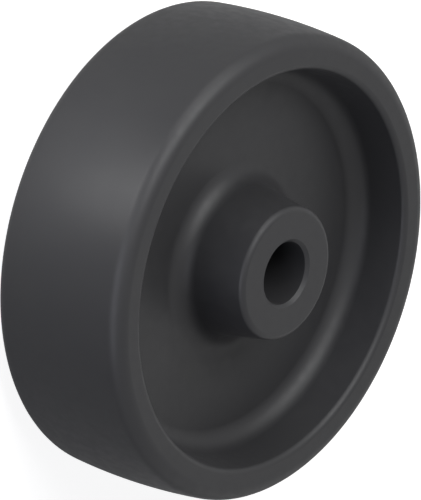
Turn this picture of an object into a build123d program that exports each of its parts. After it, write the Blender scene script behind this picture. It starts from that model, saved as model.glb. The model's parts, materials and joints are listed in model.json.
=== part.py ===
from build123d import *
from math import radians, tan
import os

# Heavy-duty castor wheel, moulded in one piece: a crowned rim, a solid web and a hub with a plain axle bore.
# The wheel lies on its side. Z runs along the bore, and the origin is the wheel's centre.
# Lengths are in millimetres and angles in degrees.

# Tread and rim
wheel_diameter = 150.0
tread_width = 50.0
tread_crown = 1.6
tread_edge_radius = 5.0
rim_end_thickness = 10.1
rim_mouth_radius = 2.0
rim_draft = 9.0
rim_root_radius = 6.5

# Web
web_thickness = 15.0

# Hub and bore
hub_length = 60.0
hub_diameter = 42.0
hub_end_radius = 2.0
hub_draft = 9.0
hub_root_radius = 6.7
bore_diameter = 20.0
bore_chamfer = 1.05

# Heights of the faces above the middle of the web
tread_face = tread_width / 2
web_face = web_thickness / 2
hub_face = hub_length / 2

# Distances of the section's corners from the axis. Draft lets both halves of the mould draw out of the recesses:
# the hub is thickest and the rim's opening narrowest at the web.
bore_wall = bore_diameter / 2
hub_end = hub_diameter / 2
hub_foot = hub_end + (hub_face - web_face) * tan(radians(hub_draft))
tread_middle = wheel_diameter / 2
tread_edge = tread_middle - tread_crown
rim_mouth = tread_edge - rim_end_thickness
rim_foot = rim_mouth - (tread_face - web_face) * tan(radians(rim_draft))

with BuildPart() as wheel:
    with BuildSketch(Plane.XZ) as section:
        with BuildLine():
            side = Polyline(
                (bore_wall, hub_face),
                (hub_end, hub_face),
                (hub_foot, web_face),
                (rim_foot, web_face),
                (rim_mouth, tread_face),
                (tread_edge, tread_face),
            )
            mirror(side, about=Plane.XZ)
            Line((bore_wall, hub_face), (bore_wall, -hub_face))
            ThreePointArc((tread_edge, tread_face), (tread_middle, 0), (tread_edge, -tread_face))
        make_face()

        # The corners lie in pairs, one on each side of the web. They are rounded from the tread inwards, because a
        # rounded pair changes only the count of the corners outside it.
        corner_radii = [hub_end_radius, hub_root_radius, rim_root_radius, rim_mouth_radius, tread_edge_radius]
        for pair, radius in reversed(list(enumerate(corner_radii, start=1))):
            fillet(section.vertices().group_by(Axis.X)[pair], radius=radius)
        chamfer(section.vertices().group_by(Axis.X)[0], length=bore_chamfer)
    revolve(axis=Axis.Z)

wheel.part.label = "wheel"

os.makedirs("parts", exist_ok=True)
export_step(wheel.part, "parts/wheel.step")
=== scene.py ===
import json
from math import cos, pi, radians, sin, sqrt, tan

import bmesh
import bpy
from bpy.props import FloatProperty, FloatVectorProperty, IntProperty, PointerProperty
from mathutils import Matrix, Vector


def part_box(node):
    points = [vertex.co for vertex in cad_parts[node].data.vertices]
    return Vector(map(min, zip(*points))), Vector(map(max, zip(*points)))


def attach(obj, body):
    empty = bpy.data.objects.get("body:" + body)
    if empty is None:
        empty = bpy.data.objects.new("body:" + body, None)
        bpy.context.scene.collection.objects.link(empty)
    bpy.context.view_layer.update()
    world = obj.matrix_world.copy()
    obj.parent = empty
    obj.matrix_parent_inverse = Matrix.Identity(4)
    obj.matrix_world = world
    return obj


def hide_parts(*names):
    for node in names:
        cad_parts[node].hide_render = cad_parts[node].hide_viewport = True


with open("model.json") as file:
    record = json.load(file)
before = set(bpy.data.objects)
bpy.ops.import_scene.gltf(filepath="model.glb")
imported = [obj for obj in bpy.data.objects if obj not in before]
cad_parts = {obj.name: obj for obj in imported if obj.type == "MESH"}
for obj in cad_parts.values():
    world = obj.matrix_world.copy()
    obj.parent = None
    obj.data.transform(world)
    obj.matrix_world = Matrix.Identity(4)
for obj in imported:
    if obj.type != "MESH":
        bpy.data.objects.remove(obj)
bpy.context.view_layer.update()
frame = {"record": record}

bl_info = {
    "name": "Moulded Castor Wheel",
    "version": (1, 0, 0),
    "blender": (4, 5, 0),
    "location": "3D View > Sidebar > Wheel",
    "description": "Models a moulded plastic castor wheel and lights it for a product picture",
    "category": "Object",
}

# The wheel lies on its side: Z runs along its axle bore, and the floor is under the lower end of its hub.
# Lengths are in metres and angles in radians.
NODE = "wheel"
WHEEL_NAME = "moulded_wheel"
WHEEL_LOW, WHEEL_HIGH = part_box(NODE)
AXLE_BORE = next(mount for mount in frame["record"]["mounts"] if mount["name"] == "axle_bore")

# How far below the rim's face the drawn crown starts, in tread edge radii, so that the rounding has room
CROWN_CLEARANCE = 1.1

# Points of the spun surface that are closer than this are merged
MERGE_DISTANCE = 0.000001

# Edges that turn more than this stay sharp, and flat faces keep their own shading with this weight
SHARP_ANGLE = radians(30)
FLAT_FACE_WEIGHT = 100

# Most values of a noise texture lie between these two
NOISE_LOW = 0.3
NOISE_HIGH = 0.7

# The patches of shine are this many times finer than the clouds
PATCHES_TO_CLOUD = 4

# How many finer layers each noise texture has
CLOUD_LAYERS = 3
PATCH_LAYERS = 5
GRAIN_LAYERS = 2

# The picture's frame, in pixels
PICTURE_WIDTH = 421
PICTURE_HEIGHT = 500
LONG_SIDE = max(PICTURE_WIDTH, PICTURE_HEIGHT)


def srgb(red, green, blue):
    """A colour as picked on a screen, 0 to 255 a channel, as the linear colour that a shader takes."""
    picked = [channel / 255 for channel in (red, green, blue)]
    return (*[c / 12.92 if c <= 0.04045 else ((c + 0.055) / 1.055) ** 2.4 for c in picked], 1.0)


class WheelSettings(bpy.types.PropertyGroup):
    """Sizes of the moulded wheel."""

    wheel_radius: FloatProperty(
        name="Wheel Radius",
        description="Radius at the middle of the tread",
        default=WHEEL_HIGH.x,
        unit="LENGTH",
    )
    tread_width: FloatProperty(
        name="Tread Width",
        description="Width of the rim between its two flat faces",
        default=0.050,
        unit="LENGTH",
    )
    tread_crown: FloatProperty(
        name="Tread Crown",
        description="How much further out the middle of the tread is than its edges",
        default=0.0016,
        unit="LENGTH",
    )
    tread_edge_radius: FloatProperty(
        name="Tread Edge Radius",
        description="Rounding between the tread and the rim's flat face",
        default=0.005,
        unit="LENGTH",
    )
    rim_end_thickness: FloatProperty(
        name="Rim End Thickness",
        description="Thickness of the rim at its flat face, before its corners are rounded",
        default=0.0101,
        unit="LENGTH",
    )
    rim_mouth_radius: FloatProperty(
        name="Rim Mouth Radius",
        description="Rounding between the rim's flat face and its inner wall",
        default=0.002,
        unit="LENGTH",
    )
    rim_root_radius: FloatProperty(
        name="Rim Root Radius",
        description="Rounding between the rim's inner wall and the web",
        default=0.0065,
        unit="LENGTH",
    )
    web_thickness: FloatProperty(
        name="Web Thickness",
        description="Thickness of the disc between the hub and the rim",
        default=0.015,
        unit="LENGTH",
    )
    hub_root_radius: FloatProperty(
        name="Hub Root Radius",
        description="Rounding between the web and the hub",
        default=0.0067,
        unit="LENGTH",
    )
    hub_radius: FloatProperty(
        name="Hub Radius",
        description="Radius of the hub at its ends, before they are rounded",
        default=0.021,
        unit="LENGTH",
    )
    hub_length: FloatProperty(
        name="Hub Length",
        description="Length of the hub between its two end faces",
        default=WHEEL_HIGH.z - WHEEL_LOW.z,
        unit="LENGTH",
    )
    hub_end_radius: FloatProperty(
        name="Hub End Radius",
        description="Rounding at the ends of the hub",
        default=0.002,
        unit="LENGTH",
    )
    draft: FloatProperty(
        name="Draft",
        description="Taper of the hub's side and of the rim's inner wall",
        default=radians(9),
        subtype="ANGLE",
    )
    bore_radius: FloatProperty(
        name="Bore Radius",
        description="Radius of the plain axle bore",
        default=AXLE_BORE["dims"]["r_mm"] / 1000,
        unit="LENGTH",
    )
    bore_chamfer: FloatProperty(
        name="Bore Chamfer",
        description="Size of the chamfers at the ends of the bore",
        default=0.00105,
        unit="LENGTH",
    )
    steps_around: IntProperty(
        name="Steps Around",
        description="Faces in one turn of the wheel",
        default=256,
        min=12,
    )
    steps_in_corner: IntProperty(
        name="Steps in Corner",
        description="Faces across each rounded corner of the section",
        default=10,
        min=1,
    )
    steps_in_crown: IntProperty(
        name="Steps in Crown",
        description="Faces across half of the tread",
        default=8,
        min=1,
    )


class AddWheel(bpy.types.Operator):
    """Model the wheel by spinning its section round the axle bore"""

    bl_idname = "castor_wheel.add_wheel"
    bl_label = "Wheel"

    def execute(self, context):
        settings = context.scene.castor_wheel
        corners = section_corners(settings)
        places = [place for place, size, steps in corners]
        wheel = draw_outline(places)
        for before, (place, size, steps), after in zip(places, corners[1:], places[2:]):
            if steps:
                turn = (place - before).angle(after - place)
                cut_corner(wheel, place, size * tan(turn / 2), steps)
        spin_outline(settings.steps_around)
        smooth_surface(wheel)
        wheel.name = WHEEL_NAME
        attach(wheel, "root")
        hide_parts(NODE)
        return {"FINISHED"}


def section_corners(s):
    """The upper half of the section from the bore outwards: each corner's place, size and steps."""
    hub_face = s.hub_length / 2
    web_face = s.web_thickness / 2
    tread_face = s.tread_width / 2
    tread_edge = s.wheel_radius - s.tread_crown
    rim_mouth = tread_edge - s.rim_end_thickness
    hub_foot = s.hub_radius + (hub_face - web_face) * tan(s.draft)
    rim_foot = rim_mouth - (tread_face - web_face) * tan(s.draft)

    sharp, chamfered, rounded = 0, 1, s.steps_in_corner
    corners = [
        (s.bore_radius, 0, 0, sharp),
        (s.bore_radius, hub_face, s.bore_chamfer, chamfered),
        (s.hub_radius, hub_face, s.hub_end_radius, rounded),
        (hub_foot, web_face, s.hub_root_radius, rounded),
        (rim_foot, web_face, s.rim_root_radius, rounded),
        (rim_mouth, tread_face, s.rim_mouth_radius, rounded),
        (tread_edge, tread_face, s.tread_edge_radius, rounded),
    ]
    crown_radius = (tread_face**2 + s.tread_crown**2) / (2 * s.tread_crown)
    crown_start = tread_face - CROWN_CLEARANCE * s.tread_edge_radius
    for step in range(s.steps_in_crown + 1):
        height = crown_start * (1 - step / s.steps_in_crown)
        sag = crown_radius - sqrt(crown_radius**2 - height**2)
        corners.append((s.wheel_radius - sag, height, 0, sharp))
    return [(Vector((x, 0, z)), size, steps) for x, z, size, steps in corners]


def draw_outline(places):
    """Draw a line of edges in the XZ plane by extruding one vertex from place to place."""
    bpy.ops.mesh.primitive_plane_add()
    outline = bpy.context.object
    bpy.ops.object.mode_set(mode="EDIT")
    bpy.ops.mesh.merge(type="CENTER")
    bpy.ops.transform.translate(value=places[0])
    for place, following in zip(places, places[1:]):
        bpy.ops.mesh.extrude_region_move(TRANSFORM_OT_translate={"value": following - place})
    return outline


def cut_corner(outline, place, setback, steps):
    """Cut a corner back by one chamfer or by the steps of a rounding."""
    mesh = bmesh.from_edit_mesh(outline.data)
    bpy.ops.mesh.select_all(action="DESELECT")
    corner = min(mesh.verts, key=lambda vertex: (vertex.co - place).length)
    corner.select = True
    bmesh.update_edit_mesh(outline.data)
    bpy.ops.mesh.bevel(offset=setback, segments=steps, affect="VERTICES")


def spin_outline(steps):
    """Mirror the outline to the lower side and spin it into a closed surface."""
    bpy.ops.mesh.select_all(action="SELECT")
    bpy.ops.mesh.symmetrize(direction="POSITIVE_Z")
    bpy.ops.mesh.select_all(action="SELECT")
    bpy.ops.mesh.spin(steps=steps, angle=2 * pi, center=(0, 0, 0), axis=(0, 0, 1))
    bpy.ops.mesh.select_all(action="SELECT")
    bpy.ops.mesh.remove_doubles(threshold=MERGE_DISTANCE)
    bpy.ops.mesh.normals_make_consistent(inside=False)
    bpy.ops.object.mode_set(mode="OBJECT")


def smooth_surface(wheel):
    """Shade the roundings smooth and keep the flat faces flat up to their edges."""
    bpy.ops.object.shade_smooth_by_angle(angle=SHARP_ANGLE)
    weighted = wheel.modifiers.new("flat_faces", "WEIGHTED_NORMAL")
    weighted.keep_sharp = True
    weighted.weight = FLAT_FACE_WEIGHT
    bpy.ops.object.modifier_apply(modifier=weighted.name)


class PlasticSettings(bpy.types.PropertyGroup):
    """The finish of the moulded plastic."""

    colour: FloatVectorProperty(
        name="Colour",
        description="Colour of the plastic",
        subtype="COLOR",
        size=4,
        default=srgb(44, 44, 46),
        min=0,
        max=1,
    )
    flow_colour: FloatVectorProperty(
        name="Flow Colour",
        description="Colour of the faint paler clouds that the plastic leaves where it flowed in the mould",
        subtype="COLOR",
        size=4,
        default=srgb(48, 48, 49),
        min=0,
        max=1,
    )
    flow_size: FloatProperty(
        name="Flow Size",
        description="Size of those clouds",
        default=0.012,
        unit="LENGTH",
    )
    grain_size: FloatProperty(
        name="Grain Size",
        description="Size of the fine grain that the mould leaves on the surface",
        default=0.0005,
        unit="LENGTH",
    )
    grain_depth: FloatProperty(
        name="Grain Depth",
        description="Depth of that grain",
        default=0.000006,
        unit="LENGTH",
        precision=6,
    )
    shine: FloatProperty(
        name="Shine",
        description="How strongly the surface mirrors its surroundings",
        subtype="FACTOR",
        default=0.25,
        min=0,
        max=1,
    )
    smoothest: FloatProperty(
        name="Smoothest",
        description="Roughness of the shiniest patches",
        subtype="FACTOR",
        default=0.40,
        min=0,
        max=1,
    )
    roughest: FloatProperty(
        name="Roughest",
        description="Roughness of the dullest patches",
        subtype="FACTOR",
        default=0.50,
        min=0,
        max=1,
    )


class FinishPlastic(bpy.types.Operator):
    """Give the wheel its satin moulded plastic"""

    bl_idname = "castor_wheel.finish_plastic"
    bl_label = "Plastic"

    def execute(self, context):
        wheel = bpy.data.objects[WHEEL_NAME]
        wheel.data.materials.clear()
        wheel.data.materials.append(moulded_plastic(context.scene.castor_plastic))
        return {"FINISHED"}


def moulded_plastic(settings):
    """Satin plastic with faint clouds of colour, patches of shine and a fine grain."""
    material = bpy.data.materials.new("moulded_plastic")
    material.use_nodes = True
    nodes, links = material.node_tree.nodes, material.node_tree.links
    plastic = nodes["Principled BSDF"]
    plastic.inputs["Specular IOR Level"].default_value = settings.shine
    place = nodes.new("ShaderNodeTexCoord").outputs["Object"]

    def noise(size, layers):
        texture = nodes.new("ShaderNodeTexNoise")
        texture.inputs["Scale"].default_value = 1 / size
        texture.inputs["Detail"].default_value = layers
        links.new(place, texture.inputs["Vector"])
        return texture.outputs["Fac"]

    flow = noise(settings.flow_size, CLOUD_LAYERS)
    colour = nodes.new("ShaderNodeMix")
    colour.data_type = "RGBA"
    colour.inputs["A"].default_value = settings.colour
    colour.inputs["B"].default_value = settings.flow_colour
    links.new(flow, colour.inputs["Factor"])
    links.new(colour.outputs["Result"], plastic.inputs["Base Color"])

    gloss = nodes.new("ShaderNodeMapRange")
    gloss.inputs["From Min"].default_value = NOISE_LOW
    gloss.inputs["From Max"].default_value = NOISE_HIGH
    gloss.inputs["To Min"].default_value = settings.smoothest
    gloss.inputs["To Max"].default_value = settings.roughest
    patches = noise(settings.flow_size / PATCHES_TO_CLOUD, PATCH_LAYERS)
    links.new(patches, gloss.inputs["Value"])
    links.new(gloss.outputs["Result"], plastic.inputs["Roughness"])

    grain = nodes.new("ShaderNodeBump")
    grain.inputs["Distance"].default_value = settings.grain_depth
    links.new(noise(settings.grain_size, GRAIN_LAYERS), grain.inputs["Height"])
    links.new(grain.outputs["Normal"], plastic.inputs["Normal"])
    return material


class StageSettings(bpy.types.PropertyGroup):
    """The floor, the lamps and the camera."""

    floor_size: FloatProperty(
        name="Floor Size",
        description="Side of the square floor",
        default=6.0,
        unit="LENGTH",
    )
    floor_colour: FloatVectorProperty(
        name="Floor Colour",
        description="Colour of the floor",
        subtype="COLOR",
        size=4,
        default=(0.55, 0.55, 0.55, 1),
        min=0,
        max=1,
    )
    floor_glow: FloatProperty(
        name="Floor Glow",
        description="How white the floor looks where the wheel shades it",
        subtype="FACTOR",
        default=0.85,
        min=0,
        max=1,
    )
    mirrored_glow: FloatProperty(
        name="Mirrored Glow",
        description="How much the floor glows where it is seen mirrored or through glass",
        subtype="FACTOR",
        default=0.15,
        min=0,
        max=1,
    )
    sky_level: FloatProperty(
        name="Sky Level",
        description="Strength of the even light from all round",
        default=0.05,
        min=0,
    )
    wheel_in_picture: FloatProperty(
        name="Wheel in Picture",
        description="Diameter of the wheel in the picture, in pixels",
        default=488.1,
        min=1,
    )
    offset_in_picture: FloatVectorProperty(
        name="Offset in Picture",
        description="How far right and up the wheel's centre is from the picture's middle, in pixels",
        size=2,
        default=(1.2, -0.43),
    )
    camera_distance: FloatProperty(
        name="Camera Distance",
        description="Distance from the wheel's centre to the camera, long enough for a parallel view",
        default=6.0,
        unit="LENGTH",
    )
    camera_height: FloatProperty(
        name="Camera Height",
        description="Angle of the camera above the middle plane of the web",
        default=radians(36.56),
        subtype="ANGLE",
    )
    camera_roll: FloatProperty(
        name="Camera Roll",
        description="Turn of the picture about the line of sight, which stands the wheel upright in it",
        default=radians(107.41),
        subtype="ANGLE",
    )


WHITE = (1.0, 1.0, 1.0)
COOL = (0.87, 0.89, 1.0)

# Each lamp's azimuth from +X and rise above the web in degrees, its distance from the wheel's centre,
# width and height in metres, and its power in watts. A lamp faces the axle's line at the height aim.
LAMPS = {
    "key_softbox": dict(azimuth=214, rise=48, distance=1.0, width=1.0, height=0.5, power=8.8),
    "low_softbox": dict(azimuth=208, rise=15, distance=1.0, width=0.6, height=0.6, power=3.4),
    "front_softbox": dict(azimuth=300, rise=15, distance=1.0, width=0.9, height=0.6, power=4.4, colour=COOL),
    "tread_lamp": dict(azimuth=264, rise=-1.5, distance=0.115, width=0.03, height=0.05, power=0.012),
    "floor_lamp": dict(azimuth=254, rise=0, distance=0.15, width=0.04, height=0.02, power=0.036, aim=-0.12),
}


class AddStage(bpy.types.Operator):
    """Add the floor, the backdrop, the lamps and the camera"""

    bl_idname = "castor_wheel.add_stage"
    bl_label = "Stage"

    def execute(self, context):
        settings = context.scene.castor_stage
        context.scene.view_settings.view_transform = "Standard"
        add_floor(settings)
        add_sky(settings)
        for name, lamp in LAMPS.items():
            add_lamp(name, **lamp)
        add_camera(settings)
        return {"FINISHED"}


def sum_of(nodes, links, first, second):
    """The sum of two rays' marks, at most 1."""
    both = nodes.new("ShaderNodeMath")
    both.operation = "ADD"
    both.use_clamp = True
    links.new(first, both.inputs[0])
    links.new(second, both.inputs[1])
    return both.outputs["Value"]


def add_floor(settings):
    """A plain floor that looks white, but for the wheel's faint shadow."""
    bpy.ops.mesh.primitive_plane_add(size=settings.floor_size, location=(0, 0, WHEEL_LOW.z))
    floor = bpy.context.object
    floor.name = "floor"
    bpy.ops.object.transform_apply(location=True)
    material = bpy.data.materials.new("pale_floor")
    material.use_nodes = True
    nodes, links = material.node_tree.nodes, material.node_tree.links
    surface = nodes["Principled BSDF"]
    surface.inputs["Base Color"].default_value = settings.floor_colour
    surface.inputs["Roughness"].default_value = 1.0
    surface.inputs["Specular IOR Level"].default_value = 0.0
    surface.inputs["Emission Color"].default_value = (*WHITE, 1)
    path = nodes.new("ShaderNodeLightPath").outputs
    straight = nodes.new("ShaderNodeMath")
    straight.operation = "MULTIPLY"
    straight.inputs[1].default_value = settings.floor_glow
    links.new(path["Is Camera Ray"], straight.inputs[0])
    glow = nodes.new("ShaderNodeMath")
    glow.operation = "MULTIPLY_ADD"
    glow.inputs[1].default_value = settings.mirrored_glow
    links.new(sum_of(nodes, links, path["Is Glossy Ray"], path["Is Transmission Ray"]), glow.inputs[0])
    links.new(straight.outputs["Value"], glow.inputs[2])
    links.new(glow.outputs["Value"], surface.inputs["Emission Strength"])
    floor.data.materials.append(material)


def add_sky(settings):
    """A faint even light from all round, which looks white."""
    world = bpy.data.worlds.new("studio")
    bpy.context.scene.world = world
    world.use_nodes = True
    nodes, links = world.node_tree.nodes, world.node_tree.links
    path = nodes.new("ShaderNodeLightPath").outputs
    seen = sum_of(nodes, links, path["Is Camera Ray"], path["Is Glossy Ray"])
    seen = sum_of(nodes, links, seen, path["Is Transmission Ray"])
    level = nodes.new("ShaderNodeMapRange")
    level.inputs["To Min"].default_value = settings.sky_level
    level.inputs["To Max"].default_value = 1.0
    links.new(seen, level.inputs["Value"])
    background = nodes["Background"]
    background.inputs["Color"].default_value = (*WHITE, 1)
    links.new(level.outputs["Result"], background.inputs["Strength"])


def add_lamp(name, azimuth, rise, distance, width, height, power, colour=WHITE, aim=0):
    """A soft rectangular lamp that faces the wheel."""
    turn, tilt = radians(azimuth), radians(rise)
    place = distance * Vector((cos(turn) * cos(tilt), sin(turn) * cos(tilt), sin(tilt)))
    bpy.ops.object.light_add(type="AREA", location=place)
    lamp = bpy.context.object
    lamp.name = name
    lamp.rotation_euler = (place - Vector((0, 0, aim))).to_track_quat("Z", "Y").to_euler()
    lamp.data.shape = "RECTANGLE"
    lamp.data.size = width
    lamp.data.size_y = height
    lamp.data.energy = power
    lamp.data.color = colour


def add_camera(settings):
    """A long-lens camera on the -Y side, turned until the wheel stands upright in the picture."""
    height = settings.camera_height
    sight = Vector((0, -cos(height), sin(height)))
    level = Vector((1, 0, 0))
    upright = sight.cross(level)
    right = level * cos(settings.camera_roll) + upright * sin(settings.camera_roll)
    up = sight.cross(right)

    bpy.ops.object.camera_add(location=sight * settings.camera_distance)
    camera = bpy.context.object
    camera.name = "picture_camera"
    camera.rotation_euler = Matrix((right, up, sight)).transposed().to_euler()
    pixel = (WHEEL_HIGH.x - WHEEL_LOW.x) / settings.wheel_in_picture
    camera.data.lens = camera.data.sensor_width * settings.camera_distance / (pixel * LONG_SIDE)
    camera.data.shift_x = -settings.offset_in_picture[0] / LONG_SIDE
    camera.data.shift_y = -settings.offset_in_picture[1] / LONG_SIDE
    camera.data.clip_end = 2 * settings.camera_distance
    bpy.context.scene.camera = camera


class WheelPanel(bpy.types.Panel):
    """The wheel's sizes, its plastic and its stage"""

    bl_idname = "VIEW3D_PT_castor_wheel"
    bl_label = "Moulded Castor Wheel"
    bl_space_type = "VIEW_3D"
    bl_region_type = "UI"
    bl_category = "Wheel"

    def draw(self, context):
        scene = context.scene
        parts = {
            AddWheel: scene.castor_wheel,
            FinishPlastic: scene.castor_plastic,
            AddStage: scene.castor_stage,
        }
        for operator, settings in parts.items():
            box = self.layout.box()
            for name in type(settings).__annotations__:
                box.prop(settings, name)
            box.operator(operator.bl_idname)


classes = (WheelSettings, PlasticSettings, StageSettings, AddWheel, FinishPlastic, AddStage, WheelPanel)


def register():
    for cls in classes:
        bpy.utils.register_class(cls)
    bpy.types.Scene.castor_wheel = PointerProperty(type=WheelSettings)
    bpy.types.Scene.castor_plastic = PointerProperty(type=PlasticSettings)
    bpy.types.Scene.castor_stage = PointerProperty(type=StageSettings)


def unregister():
    del bpy.types.Scene.castor_stage
    del bpy.types.Scene.castor_plastic
    del bpy.types.Scene.castor_wheel
    for cls in reversed(classes):
        bpy.utils.unregister_class(cls)


def main():
    register()
    bpy.ops.object.select_all(action="DESELECT")
    bpy.ops.castor_wheel.add_wheel()
    bpy.ops.castor_wheel.finish_plastic()
    bpy.ops.castor_wheel.add_stage()


if __name__ == "__main__":
    main()
